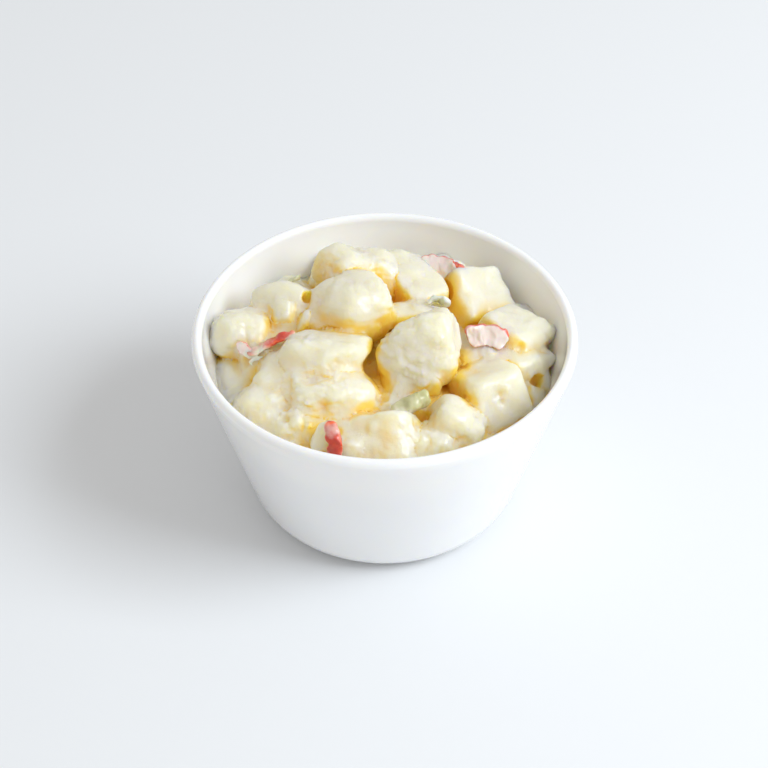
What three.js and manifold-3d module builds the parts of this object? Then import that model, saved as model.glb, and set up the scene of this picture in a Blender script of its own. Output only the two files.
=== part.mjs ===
// Cup of potato salad: a white glazed cup filled with dressed potato pieces,
// red pepper strips and celery. Millimetres, +Z up, origin at the middle of
// the cup's flat base; the side at -Y is the one the photo looks at.
import * as THREE from 'three';
import { mergeVertices } from 'three/addons/utils/BufferGeometryUtils.js';
import Module from 'manifold-3d';

// ---- cup ----
const CUP_HEIGHT = 58.6;
const RIM_RADIUS = 54;            // outermost radius, at the lip
const BASE_CORNER_RADIUS = 36.8;  // where the straight side would meet the table
const SHOULDER_RADIUS = 10;       // round between side and base
const WALL = 3;
const LIP_DROP = 2.2;             // height below the top where the lip starts to round over
const FLOOR = 4.5;                // thickness of the cup's floor
const INNER_SHOULDER_RADIUS = 8;
const CUP_SIDES = 72;
const ARC_STEPS = 5;
const LIP_STEPS = 6;

// ---- salad ----
const FOOD_GAP = 0.3;             // clearance between the food and the cup
const DRESSING_AT_WALL = 40;      // height of the dressing between the pieces
const DRESSING_AT_MIDDLE = 50;
const DRESSING_TILT_DEG = 2;      // it lies higher at the left than at the right
const PIECE_GRID = 3;             // facets along each side of a potato piece
const SMALL_GRID = 2;             // the same for pepper and celery
const HEAP_HEADROOM = 20;         // the heap rises less than this above the cup

const wasm = await Module();
wasm.setup();

const rad = THREE.MathUtils.degToRad;
const point = (r, z) => new THREE.Vector2(r, z);

// Points of a round of the given radius that joins two straight lines at a corner.
function round(before, corner, after, radius, steps) {
  const toBefore = before.clone().sub(corner).normalize();
  const toAfter = after.clone().sub(corner).normalize();
  const half = Math.acos(THREE.MathUtils.clamp(toBefore.dot(toAfter), -1, 1)) / 2;
  const bisector = toBefore.clone().add(toAfter).normalize();
  const centre = corner.clone().addScaledVector(bisector, radius / Math.sin(half));
  const tangent = radius / Math.tan(half);
  const start = corner.clone().addScaledVector(toBefore, tangent).sub(centre);
  const end = corner.clone().addScaledVector(toAfter, tangent).sub(centre);
  const startAngle = Math.atan2(start.y, start.x);
  let sweep = Math.atan2(end.y, end.x) - startAngle;
  if (sweep > Math.PI) sweep -= 2 * Math.PI;
  if (sweep < -Math.PI) sweep += 2 * Math.PI;
  const points = [];
  for (let i = 0; i <= steps; i += 1) {
    const angle = startAngle + (sweep * i) / steps;
    points.push(point(centre.x + radius * Math.cos(angle), centre.y + radius * Math.sin(angle)));
  }
  return points;
}

// Inner side of the cup, from the floor's middle up to the lip, moved in by a gap.
function innerLine(gap) {
  const slope = (RIM_RADIUS - BASE_CORNER_RADIUS) / (CUP_HEIGHT - LIP_DROP);
  const shift = (WALL + gap) * Math.hypot(1, slope);
  const radiusAt = (z) => BASE_CORNER_RADIUS + slope * z - shift;
  const floor = FLOOR + gap;
  const corner = point(radiusAt(floor), floor);
  const top = point(radiusAt(CUP_HEIGHT - LIP_DROP), CUP_HEIGHT - LIP_DROP);
  const shoulder = round(point(0, floor), corner, top, INNER_SHOULDER_RADIUS - gap, ARC_STEPS);
  return [point(0, floor), ...shoulder, top];
}

function solidOfRevolution(profile) {
  const geometry = new THREE.LatheGeometry(profile, CUP_SIDES);
  geometry.rotateX(Math.PI / 2);
  return geometry;
}

function cupGeometry() {
  const corner = point(BASE_CORNER_RADIUS, 0);
  const lipStart = point(RIM_RADIUS, CUP_HEIGHT - LIP_DROP);
  const shoulder = round(point(0, 0), corner, lipStart, SHOULDER_RADIUS, ARC_STEPS + 1);
  const inner = innerLine(0).reverse();
  const lipMiddle = (RIM_RADIUS + inner[0].x) / 2;
  const lipHalf = (RIM_RADIUS - inner[0].x) / 2;
  const lip = [];
  for (let i = 1; i < LIP_STEPS; i += 1) {
    const angle = (Math.PI * i) / LIP_STEPS;
    const x = lipMiddle + lipHalf * Math.cos(angle);
    lip.push(point(x, CUP_HEIGHT - LIP_DROP + LIP_DROP * Math.sin(angle)));
  }
  return solidOfRevolution([point(0, 0), ...shoulder, lipStart, ...lip, ...inner]);
}

// Piece with flat sides and rounded edges: the radius in a direction d is
// (sum of (d.n / h)^squareness) ^ (-1 / squareness) over its sides n at distance h.
function pieceGeometry({ half, squareness, cuts }, grid) {
  const geometry = new THREE.BoxGeometry(2, 2, 2, grid, grid, grid);
  const position = geometry.attributes.position;
  const d = new THREE.Vector3();
  const sides = cuts.map(([x, y, z, h]) => ({ n: new THREE.Vector3(x, y, z).normalize(), h }));
  for (let i = 0; i < position.count; i += 1) {
    d.fromBufferAttribute(position, i);
    d.set(...d.toArray().map((v) => Math.tan((v * Math.PI) / 4))).normalize();
    let sum = 0;
    d.toArray().forEach((v, axis) => { sum += (Math.abs(v) / half[axis]) ** squareness; });
    for (const { n, h } of sides) sum += (Math.max(0, d.dot(n)) / h) ** squareness;
    d.multiplyScalar(sum ** (-1 / squareness));
    position.setXYZ(i, d.x, d.y, d.z);
  }
  return geometry;
}

function place(geometry, { at, turn }) {
  const euler = new THREE.Euler(...turn.map(rad), 'ZYX');
  geometry.applyQuaternion(new THREE.Quaternion().setFromEuler(euler));
  geometry.translate(...at);
  return geometry;
}

function toSolid(geometry) {
  const bare = geometry.clone();
  bare.deleteAttribute('normal');
  bare.deleteAttribute('uv');
  const merged = mergeVertices(bare, 1e-4);
  return new wasm.Manifold(new wasm.Mesh({
    numProp: 3,
    vertProperties: new Float32Array(merged.attributes.position.array),
    triVerts: new Uint32Array(merged.index.array),
  }));
}

function fromSolid(solid) {
  const mesh = solid.getMesh();
  const geometry = new THREE.BufferGeometry();
  geometry.setAttribute('position', new THREE.BufferAttribute(mesh.vertProperties, 3));
  geometry.setIndex(new THREE.BufferAttribute(mesh.triVerts, 1));
  geometry.computeVertexNormals();
  return geometry;
}

// The outermost body alone, so that hollows sealed between fused pieces are filled.
function largestBody(solid) {
  return solid.decompose().reduce((best, next) => (next.volume() > best.volume() ? next : best));
}

// Pieces are placed by their middle, half sizes, turns about x, y and z in degrees, the
// squareness of their edges and any extra sides (each a direction and a distance).
const piece = (at, half, turn, squareness = 5, cuts = []) => ({ at, half, turn, squareness, cuts });
const UNTURNED = [0, 0, 0];

// Potato pieces that show, from the left and the back to the front.
const POTATO = [
  piece([-29.4, 11.2, 53.2], [10.4, 9.8, 5.4], [43, -16, -16], 2.8),
  piece([-41.2, 7, 51.5], [7, 6.4, 9.4], [-28, 24, -26], 3.4, [[1, 0, -1, 7.6], [-1, 0, 1, 7.6]]),
  piece([-12.4, 25.2, 58.4], [6.6, 7, 8], [-9, 0, 38], 4.6, [[-1, 0, 1, 7.4], [1, 0, 1, 9]]),
  piece([-4.4, 26.4, 56], [7.4, 7, 7.4], [-12, 10, 6], 5, [[1, 0, 1, 9.4]]),
  piece([-8, 9.5, 59], [9.6, 9.6, 8.4], [-12, 2, 30], 3),
  piece([-16.2, 8.6, 56.2], [8.6, 7.4, 8.6], UNTURNED, 2.8, [[-0.85, -0.35, 0.45, 6]]),
  piece([6, 32, 54.2], [6, 5.4, 4.4], [0, 12, 0], 3),
  piece([17, 31.5, 51.4], [6.6, 5, 4], [0, 2, -10], 3.4),
  piece([10.4, 22.8, 51.6], [6.6, 7.4, 6.8], [3, 8, 37], 9),
  piece([25.3, 25.4, 46.8], [8.8, 8.6, 8], [30, 20, 29], 7),
  piece([37.2, 7.8, 47.8], [8.6, 8.6, 7.6], [6, 14, 41], 6.5),
  piece([10, -7.5, 57], [12.2, 7.4, 9.8], [-38, -26, 4], 4.2, [[1, 0, -1, 12.4], [-1, 0, 1, 13.6]]),
  piece([29.4, -15.4, 48.4], [8.6, 8.2, 8.2], [-23, -3, 32], 6),
  piece([20, -27.5, 48.3], [7.6, 6.2, 5.6], [-12, 26, -4], 3.6),
  piece([1, -31.8, 46.4], [8.8, 7.4, 8.2], [45, -21, -14], 6, [[1, 0, 1, 9.4]]),
  piece([-15.5, -9, 56], [12.8, 9, 6.6], [-24, -4, -6], 3.6, [[1, 0, -1, 9.6], [1, -1, 0, 12]]),
  piece([-33, -19.5, 46], [7.4, 8, 8.4], [-14, 0, -30], 2.8),
  piece([-29, -13, 50.5], [6.6, 7, 6.6], [0, 10, 0], 2.8),
  piece([-13.5, -18.4, 51.2], [12.6, 9, 6.8], [-24, 2, 8], 2.8),
  piece([-21.5, -27.5, 46.4], [8, 7, 5.6], UNTURNED, 2.8),
  piece([-23, -19, 42], [17, 13, 9.5], [-8, 0, -30], 2.4),
  piece([-20, -13.6, 51.8], [8, 6, 5.6], UNTURNED, 2.6),
  piece([-40, -4, 40.5], [6, 6.4, 6.5], [-10, 0, 20], 4),
  piece([38.2, -2.2, 46.2], [5.4, 5.6, 6.4], [0, 6, 30], 3.4),
  piece([28.4, -1.4, 46.6], [9.5, 6.4, 5], [-10, 4, 6], 2.8),
  piece([41.2, -6.8, 41.2], [5.4, 6.6, 6], [0, 0, -20], 3.6),
  piece([9, 11.5, 55.2], [8.4, 6, 3.2], [-24, -6, 6], 3),
  piece([-9.5, -34, 46.5], [6, 5, 5], UNTURNED, 3),
  piece([13, -33, 45.6], [7, 5, 4.6], UNTURNED, 3),
  piece([3, -19, 43.5], [8, 6, 6], [0, 0, 10], 3.2),
  piece([-33, 0, 48.5], [7.4, 7, 6], [0, 0, 10], 3.2),
];

// Potato pieces at the far side, plain and a little lower.
const POTATO_BEHIND = [
  piece([-28.5, 28.5, 43], [7.5, 7, 6.5], [8, 0, 40], 4),
  piece([-13, 38, 44], [8, 6.5, 6.5], [10, 6, -15]),
  piece([14, 40, 43], [7.5, 6, 6], [8, 0, 20]),
  piece([41, 19, 42], [5, 6.5, 5.5], [0, 8, 10]),
];

// Red pepper strips, then celery.
const STRIPS = [
  piece([-31.8, -3.6, 56.6], [7.4, 1.1, 1.6], [-30, -14, 8], 4),
  piece([-14, -38, 52.5], [1.8, 2.4, 5.2], [-8, 4, 12]),
  piece([28, 0.5, 55.5], [5.6, 2.2, 3.2], [-32, 8, 0], 6),
  piece([16, 30, 56], [5.4, 1.6, 2.8], [-20, -8, -22], 6),
  piece([7.3, -25, 53], [4.6, 2.2, 2.8], [-30, -24, 0]),
  piece([15.8, 12, 58], [2.6, 1.6, 2.4], [-20, 30, 0]),
];

// The heap: pieces fused on a low dome of dressing, kept inside the cup by the gap.
function saladGeometry() {
  const wall = innerLine(FOOD_GAP);
  const edge = wall[wall.length - 1];
  const above = CUP_HEIGHT + HEAP_HEADROOM;
  const room = toSolid(solidOfRevolution([...wall, point(edge.x, above), point(0, above)]));
  const dome = place(solidOfRevolution([
    point(0, 0),
    point(RIM_RADIUS, 0),
    point(RIM_RADIUS, DRESSING_AT_WALL),
    point(RIM_RADIUS * 0.7, (DRESSING_AT_WALL + DRESSING_AT_MIDDLE) / 2),
    point(RIM_RADIUS * 0.35, DRESSING_AT_MIDDLE - 1),
    point(0, DRESSING_AT_MIDDLE),
  ]), { at: [0, 0, 0], turn: [0, DRESSING_TILT_DEG, 0] });
  let heap = toSolid(dome);
  for (const potato of [...POTATO, ...POTATO_BEHIND]) {
    heap = heap.add(toSolid(place(pieceGeometry(potato, PIECE_GRID), potato)));
  }
  for (const strip of STRIPS) {
    heap = heap.add(toSolid(place(pieceGeometry(strip, SMALL_GRID), strip)));
  }
  return fromSolid(largestBody(heap.intersect(room)));
}

function part(name, geometry, color, roughness) {
  const mesh = new THREE.Mesh(
    geometry,
    new THREE.MeshStandardMaterial({ color, roughness, metalness: 0 }),
  );
  mesh.name = name;
  mesh.material.name = name;
  return mesh;
}

const group = new THREE.Group();
group.name = 'cup_of_potato_salad';
group.add(part('cup', cupGeometry(), 0xf4f5f6, 0.15));
group.add(part('potato_salad', saladGeometry(), 0xefe5bd, 0.4));

export default group;
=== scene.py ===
"""Cup of potato salad: a white glazed cup heaped with potato pieces in mayonnaise dressing,
with strips of red pepper and pieces of celery.

Lengths in the tables below are millimetres in the part's own frame: +Z up, the origin at the
middle of the cup's base, -Y towards the viewer. Meshes are built in metres.
"""

from collections import namedtuple

import bpy
import numpy as np
from bpy.props import FloatProperty, FloatVectorProperty, IntProperty, PointerProperty
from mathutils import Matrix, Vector


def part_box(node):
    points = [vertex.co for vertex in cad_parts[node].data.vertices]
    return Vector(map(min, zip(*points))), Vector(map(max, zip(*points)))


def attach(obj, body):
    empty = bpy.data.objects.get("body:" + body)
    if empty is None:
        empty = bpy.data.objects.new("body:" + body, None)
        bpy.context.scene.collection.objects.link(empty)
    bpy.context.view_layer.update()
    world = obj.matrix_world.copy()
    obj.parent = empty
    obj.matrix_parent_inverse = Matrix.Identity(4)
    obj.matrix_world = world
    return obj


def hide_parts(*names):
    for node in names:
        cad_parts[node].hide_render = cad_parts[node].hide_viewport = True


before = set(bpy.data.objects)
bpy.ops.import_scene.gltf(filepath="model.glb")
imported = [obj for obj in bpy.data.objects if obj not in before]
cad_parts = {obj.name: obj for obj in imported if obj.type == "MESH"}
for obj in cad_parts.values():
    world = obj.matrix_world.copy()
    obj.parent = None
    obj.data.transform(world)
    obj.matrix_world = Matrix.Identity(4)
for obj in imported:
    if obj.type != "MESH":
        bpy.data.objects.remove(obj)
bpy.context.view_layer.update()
CUP_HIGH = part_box("cup")[1]

bl_info = {
    "name": "Cup of potato salad",
    "version": (1, 0, 0),
    "blender": (4, 5, 0),
    "location": "View3D > Sidebar > Potato salad",
    "description": "Builds a glazed cup heaped with potato salad round its solid model",
    "category": "Add Mesh",
}

MM = 0.001

# ---- cup, as the solid model has it ----
RIM_RADIUS = CUP_HIGH.x / MM
CUP_HEIGHT = CUP_HIGH.z / MM
BASE_CORNER_RADIUS = 36.8
SHOULDER_RADIUS = 10.0
WALL = 3.0
LIP_DROP = 2.2
FLOOR = 4.5
INNER_SHOULDER_RADIUS = 8.0
SIDE_SLOPE = (RIM_RADIUS - BASE_CORNER_RADIUS) / (CUP_HEIGHT - LIP_DROP)
WALL_ACROSS = WALL * np.hypot(1.0, SIDE_SLOPE)  # the wall's thickness measured level

# ---- dressing between the pieces ----
DRESSING_AT_WALL = 40.0    # its height at the wall
DRESSING_AT_MIDDLE = 50.0  # and in the middle
DRESSING_TILT = np.radians(2.0)
DRESSING_DEPTH = 14.0      # how far its closed skin goes down below its edge
WALL_SMEAR = 0.12          # how far food reaches into the glaze, so that no gap shows
WALL_FILM = 2.0            # width of the edge where the dressing is too thin to glow

Piece = namedtuple("Piece", "name at half turn square sides rough bare coat")


def piece(name, at, half, turn, square, sides, rough, bare, coat):
    """One potato piece: its middle, half sizes, turns about x, y and z in degrees, the squareness
    of its edges, extra flat sides (direction and distance), the height of its surface lumps in mm,
    how far bare flesh shows through the dressing (0 to 1), which on pieces lying in shade is set
    higher so that it also paints their shade, and how softly the dressing joins it to its
    neighbours, in mm."""
    return Piece(name, np.array(at, float), np.array(half, float), turn, square, sides, rough, bare, coat)


CUBES = (
    piece("back_peak", (-12.4, 25.2, 58.4), (6.6, 7, 8), (-9, 0, 38), 4.6,
          ((-1, 0, 1, 7.4), (1, 0, 1, 9)), 0.7, 0.6, 0.9),
    piece("back_middle", (-4.4, 26.4, 56), (7.4, 7, 7.4), (-12, 10, 6), 5,
          ((1, 0, 1, 9.4),), 0.8, 0.1, 1),
    piece("wedge", (9.2, 22.8, 51.6), (6.6, 7.4, 6.8), (3, 8, 37), 9, (), 0.35, 0.05, 0.4),
    piece("back_right", (25.3, 25.4, 46.8), (8.8, 8.6, 8), (30, 20, 29), 7, (), 0.45, 0.9, 0.6),
    piece("right", (36.8, 7.4, 47.9), (8.6, 8.6, 7.6), (6, 14, 51), 6.5, (), 0.5, 1, 0.6),
    piece("front_right", (29.4, -15.4, 48.4), (8.6, 8.2, 8.2), (-23, -3, 32), 6, (), 0.35, 0.4, 0.8),
    piece("front", (1, -31.8, 46.4), (8.8, 7.4, 8.2), (45, -21, -14), 6,
          ((1, 0, 1, 9.4),), 0.4, 0.6, 1),
)
SLABS = (
    piece("left_slice", (-29.4, 11.2, 53.2), (10.4, 9.8, 5.4), (43, -16, -16), 2.8, (), 0.6, 0.1, 1),
    piece("far_left", (-41.2, 7, 51.5), (7, 6.4, 9.4), (-28, 24, -26), 3.4,
          ((1, 0, -1, 7.6), (-1, 0, 1, 7.6)), 0.7, 0.1, 1.2),
    piece("dome", (-8, 9.5, 59), (9.6, 9.6, 8.4), (-12, 2, 30), 3, (), 0.45, 0.2, 1.2),
    piece("middle", (10, -7.5, 57), (12.2, 7.4, 9.8), (-38, -26, 4), 4.2,
          ((1, 0, -1, 12.4), (-1, 0, 1, 13.6)), 0.75, 0.05, 1.2),
    piece("front_right_small", (20, -27.5, 48.3), (7.6, 6.2, 5.6), (-12, 26, -4), 3.6,
          (), 0.5, 0.3, 1.2),
    piece("middle_left", (-15.5, -9, 56), (12.8, 9, 6.6), (-24, -4, -6), 3.6,
          ((1, 0, -1, 9.6), (1, -1, 0, 12)), 0.8, 0.2, 1.3),
    piece("ledge", (9, 11.5, 55.2), (8.4, 6, 3.2), (-24, -6, 6), 3, (), 0.8, 0.3, 1.8),
)
LUMPS = (
    piece("dome_foot", (-16.2, 8.6, 56.2), (8.6, 7.4, 8.6), (0, 0, 0), 2.8,
          ((-0.85, -0.35, 0.45, 6),), 0.6, 0.5, 1.4),
    piece("back_crumbs", (6, 32, 54.2), (6, 5.4, 4.4), (0, 12, 0), 3, (), 0.8, 0.3, 1.6),
    piece("back_low", (17, 31.5, 51.4), (6.6, 5, 4), (0, 2, -10), 3.4, (), 0.5, 0.3, 1.2),
    piece("left_front", (-33, -19.5, 46), (7.4, 8, 8.4), (-14, 0, -30), 2.8, (), 0.95, 0.3, 1.5),
    piece("left_fold", (-29, -13, 50.5), (6.6, 7, 6.6), (0, 10, 0), 2.8, (), 0.9, 0.25, 1.4),
    piece("front_left_high", (-14.6, -18.8, 51), (11.6, 8.8, 6.8), (-24, 2, 8), 2.8,
          (), 0.85, 0.25, 1.5),
    piece("front_left_low", (-21.5, -27.5, 46.4), (8, 7, 5.6), (0, 0, 0), 2.8, (), 0.95, 0.35, 1.4),
    piece("left_mass", (-23, -19, 42), (17, 13, 9.5), (-8, 0, -30), 2.4, (), 0.8, 0.3, 1.6),
    piece("left_join", (-19, -16.4, 52.8), (9.4, 7.4, 6), (0, 0, 0), 2.6, (), 0.7, 0.15, 1.6),
    piece("flank", (-17.5, -36.2, 51.8), (2.4, 1.6, 5.2), (-12, 14, 0), 2.6, (), 0.4, 0, 0.9),
    piece("left_shade", (-40, -4, 40.5), (6, 6.4, 6.5), (-10, 0, 20), 4, (), 0.4, 0.3, 1),
    piece("right_low", (38.2, -2.2, 46.2), (5.4, 5.6, 6.4), (0, 6, 30), 3.4, (), 0.35, 0.4, 1.2),
    piece("right_middle", (28.4, -1.8, 47.8), (9.5, 6.4, 5), (-10, 4, 6), 2.8, (), 0.45, 0.3, 1.5),
    # bare 1 here paints this piece's shade as golden flesh
    piece("right_shade", (41, -7, 40), (5.4, 6.6, 6), (0, 0, -20), 3.6, (), 0.6, 1, 1),
    piece("front_small", (-9.5, -34, 46.5), (6, 5, 5), (0, 0, 0), 3, (), 0.8, 0.3, 1.4),
    piece("front_spill", (13, -33, 45.6), (7, 5, 4.6), (0, 0, 0), 3, (), 0.8, 0.35, 1.4),
    piece("middle_fill", (3, -19, 43.5), (8, 6, 6), (0, 0, 10), 3.2, (), 0.4, 0.3, 1.5),
    piece("left_fill", (-33, 0, 48.5), (7.4, 7, 6), (0, 0, 10), 3.2, (), 0.4, 0.3, 1.8),
    piece("flake", (-28.2, 8, 58.8), (3.2, 2.6, 1.7), (40, -24, -30), 4, (), 0.3, 0.05, 0.7),
    piece("drip", (-22.6, 4.6, 57.6), (1.1, 1.3, 3), (-20, 24, 0), 2.4, (), 0.4, 0.3, 0.9),
    piece("mayo_peak", (-33.4, -4.2, 54), (1.3, 1.4, 2.2), (10, -14, 0), 2.4, (), 0.3, 0.3, 0.6),
    piece("mayo_flap", (-30.8, -7.8, 52.4), (1.6, 1.5, 3.4), (-30, -20, 0), 2.6, (), 0.4, 0.3, 0.6),
    piece("web", (13.4, -16.2, 51.2), (1.5, 1.5, 4.6), (16, 10, 0), 2.4, (), 0.4, 0.3, 0.8),
    piece("web_tip", (15.8, -13.4, 53.2), (3.4, 1.8, 1.8), (0, -20, 14), 2.4, (), 0.5, 0.3, 0.8),
)
BEHIND = (
    piece("behind_left", (-28.5, 28.5, 43), (7.5, 7, 6.5), (8, 0, 40), 4, (), 0.4, 0.3, 1.3),
    piece("behind_middle", (-13, 38, 44), (8, 6.5, 6.5), (10, 6, -15), 5, (), 0.4, 0.3, 1.3),
    piece("behind_right", (14, 40, 43), (7.5, 6, 6), (8, 0, 20), 5, (), 0.4, 0.3, 1.3),
    piece("behind_end", (41, 19, 42), (5, 6.5, 5.5), (0, 8, 10), 5, (), 0.4, 0.3, 1.3),
)
HEAP = CUBES + SLABS + LUMPS + BEHIND

# Blobs of dressing that swell the surface they touch: middle, radius and softness of the joint.
BLOBS = (
    ((45.6, 1.4, 46.6), 2.4, 1.2),
    ((-21, -28.6, 50.2), 3.4, 0.8),
    ((-36, -22.4, 52), 2.2, 0.7),
    ((-30.8, -22.6, 53.4), 1.8, 0.7),
    ((-14.4, -24, 55.6), 2.6, 1),
    ((-25.4, -15.4, 56.4), 2.2, 0.8),
    ((4.9, 33.5, 57.6), 1.5, 0.4),
    ((-42, 3.2, 55.6), 2.6, 1.2),
    ((16.6, -12.8, 53), 1.8, 0.6),
    ((35.6, -12.8, 55.6), 1.6, 0.6),
    ((22, -29.4, 52.6), 1.8, 0.7),
    ((-2.6, -34.2, 53.6), 1.5, 0.6),
    ((10.8, -35, 49), 2.2, 1),
)
# Pits and dimples: middle and radius.
PITS = (
    ((31.9, -22.4, 54.8), 1.7),
    ((32.5, -22.9, 52.1), 1.1),
    ((-17.6, -28.8, 55.6), 2.1),
    ((38.4, -2.8, 54.2), 1.4),
    ((-27.4, -29, 52), 1.3),
    ((-39.8, -5.2, 51.8), 2),
    ((18.8, -16.4, 52.2), 1.5),
    ((28.8, 21, 56.8), 1.5),
    ((-1, -19.6, 52.2), 2.4),
    ((10.2, -26.4, 49.4), 2.6),
    ((-21.6, 11.6, 60.2), 1.8),
    ((-22.2, 15, 57.6), 2.2),
    ((42.4, -6.6, 45.4), 2.2),
    ((-5, -9, 52.4), 2.4),
)

Strip = namedtuple("Strip", "name path half across bend pale")


def strip(name, path, half, across, bend=0.0, pale=0.0):
    """One strip of vegetable: three points that its middle line bends through, half its width and
    half its thickness, the direction of its width, how far its section curls, in mm, and how pale
    it is, from 1 down to below 0 for the reddest."""
    return Strip(name, np.array(path, float), half, np.array(across, float), bend, pale)


PEPPER = (
    strip("left_strip", ((-38.4, -4.4, 54.0), (-32.5, -2.6, 56.3), (-24.6, -0.8, 58.2)),
          (1.7, 0.7), (0.0, 0.95, -0.1), 0.3),
    strip("left_tip", ((-40.0, -2.6, 56.8), (-39.0, -3.8, 55.0), (-37.0, -4.8, 53.4)),
          (1.5, 0.5), (-0.8, 0.1, -0.5), -0.3),
    strip("left_flap", ((-37.4, -5.4, 53.2), (-34.8, -6.4, 52.4), (-31.6, -6.8, 52.6)),
          (1.9, 0.6), (0.1, 0.6, 0.8), -0.2),
    strip("front_strip", ((-12.8, -39.4, 44.0), (-13.8, -38.6, 51.4), (-14.8, -36.4, 57.2)),
          (1.8, 1.1), (-1.0, 0.1, 0.0), 0.4, 0.0),
    strip("right_strip", ((22.4, 0.2, 55.6), (28.0, 1.0, 56.0), (33.6, -0.6, 55.0)),
          (3.2, 1.1), (0.0, -0.6, -0.8), 0.6, 0.7),
    strip("back_strip", ((10.6, 31.2, 55.0), (15.9, 29.8, 56.8), (20.4, 27.2, 56.8)),
          (3.2, 0.9), (0.0, -0.6, -0.8), 0.3, 0.4),
    strip("back_bit", ((18.6, 29.8, 57.0), (20.6, 29.2, 57.8), (22.6, 28.2, 57.2)),
          (1.5, 0.8), (0.0, 0.7, -0.7), 0.2),
)
CELERY = (
    strip("front_piece", ((2.6, -26.2, 51.4), (7.0, -25.2, 53.4), (12.0, -23.6, 54.6)),
          (3.2, 2.2), (0.1, -0.6, 0.8), 0.3, 0.0),
    strip("middle_piece", ((13.4, 12.2, 58.4), (15.9, 11.6, 59.4), (18.0, 10.0, 58.6)),
          (2.6, 0.7), (0.2, -0.6, 0.8), 0.1, 1.0),
    strip("middle_bit", ((12.6, 10.6, 57.2), (13.8, 10.2, 57.4), (15.2, 9.6, 56.8)),
          (1.4, 0.9), (0.1, -0.6, 0.8), 0.2, 0.0),
    strip("back_left_bit", ((-27.6, 23.5, 55.8), (-26.0, 24.0, 56.6), (-24.0, 24.6, 56.4)),
          (1.3, 0.8), (0.0, -0.6, 0.8), 0.2, 0.2),
)

# ---- how pieces and dressing join; lengths in mm, limits before relief ----
DRESSING_COAT = 1.5      # softness of the dressing where pieces meet
DRESSING_STEEPNESS = 0.9  # share of a height over the dressing that is its distance
DRESSING_ROUGH = 0.4     # height of the dressing's own relief
DRESSING_SINK = 1.0      # the core's skin lies at most this far under its own level
DRESSING_RISE = 1.5      # and at most this far over it
DRESSING_GRID = (60, 230)  # rings and sides of the core's top
PIECE_CELLS = (10, 36)   # fewest and most grid cells along a piece's side
SWELL_LIMIT = 7.0        # the dressing stands at most this far proud of a piece
SINK_LIMIT = 3.5         # a pit is at most this deep
PIT_EDGE = 0.3           # softness of a pit's edge
NEIGHBOUR_REACH = 6.0    # pieces further apart than this don't touch each other's dressing
STEPS = 9                # steps in which a surface point finds its place
EASE = 0.75              # share of the remaining way taken in each step
UNDERCUT = 2.0           # where another piece covers it, a piece dips up to this far below
COVER_MARGIN = 1.5       # how clearly the other piece has to win before this one dips

# ---- unevenness; lengths in mm ----
WOBBLES = ((0.9, 9.0), (0.4, 4.2))  # how far boiling moved a piece's faces, and over which length
WOBBLE_STEPS = (0, 4)    # steps at which that is worked out
STRIP_WOBBLES = ((0.8, 4.0), (0.4, 1.7), (0.15, 0.7))  # the same for a strip of vegetable
STRIP_GRID = (40, 28)    # points along and around a strip
FOLD_SIZE = 5.0          # soft folds of dressing
LUMP_SIZE = 3.4          # round lumps of mashed potato
SMALL_LUMP_SIZE = 1.7    # small lumps
TORN_SIZE = 1.5          # ridges of torn edges
GRAIN_SIZE = 2.2         # single crumbs
FINE_GRAIN_SIZE = 1.2    # fine crumbs
SKIN_SIZE = 0.7          # roughness of the skin
PATCH_SIZE = 8.0         # areas that are more or less rough

# ---- marks that the materials read ----
PAINTED_SHADE_SIDE = (-0.75, -0.6, -0.2)   # painted shade: the side turned from the lamp, where more bare flesh colour is painted
BARE_EVERYWHERE = 0.25   # how much of it shows on a side that looks neither way
RELIEF_DEPTH = 0.8       # a point deeper than this under the heap's surface counts as this deep, mm
PROBES = ((1.5, 0.15), (3.5, 0.45), (6.5, 0.4))  # distances at which crevices are felt, mm, and weights

# ---- patterns in the materials: how wide their blotches are, mm ----
GLAZE_WAVE = 16.67       # unevenness of the poured glaze
DRESSING_PATCH = 4.545   # thick and thin dressing
DRESSING_GRAIN = 1.111   # grain of the mashed potato in it, drawn coarse enough to show
PEPPER_BLOTCH = 2.857    # lighter and darker skin
PEPPER_FILM = 3.846      # milky film on the skin
CELERY_BLOTCH = 3.333    # watery and greener flesh

# ---- stage; metres and degrees ----
SHEET_HALF = 4.0
CAMERA_AIM = Vector((-0.00018, 0.0, 0.0384))
LAMP_AIM = Vector((0.0, 0.0, 0.04))
LAMP_AZIMUTH = -18.0
LAMP_ELEVATION = 41.0
LAMP_DISTANCE = 1.2
LAMP_SIZE = 0.65
LAMP_COLOUR = (0.86, 0.93, 1.0)
ROOM_COLOUR = (1.0, 0.995, 0.985, 1.0)
ROOM_STRENGTH = 0.64


# ---------------------------------------------------------------- surfaces


def turned(turn):
    """Rotation matrix Rz Ry Rx of three turns in degrees."""
    (cx, cy, cz), (sx, sy, sz) = np.cos(np.radians(turn)), np.sin(np.radians(turn))
    about_x = np.array(((1, 0, 0), (0, cx, -sx), (0, sx, cx)))
    about_y = np.array(((cy, 0, sy), (0, 1, 0), (-sy, 0, cy)))
    about_z = np.array(((cz, -sz, 0), (sz, cz, 0), (0, 0, 1)))
    return about_z @ about_y @ about_x


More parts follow.
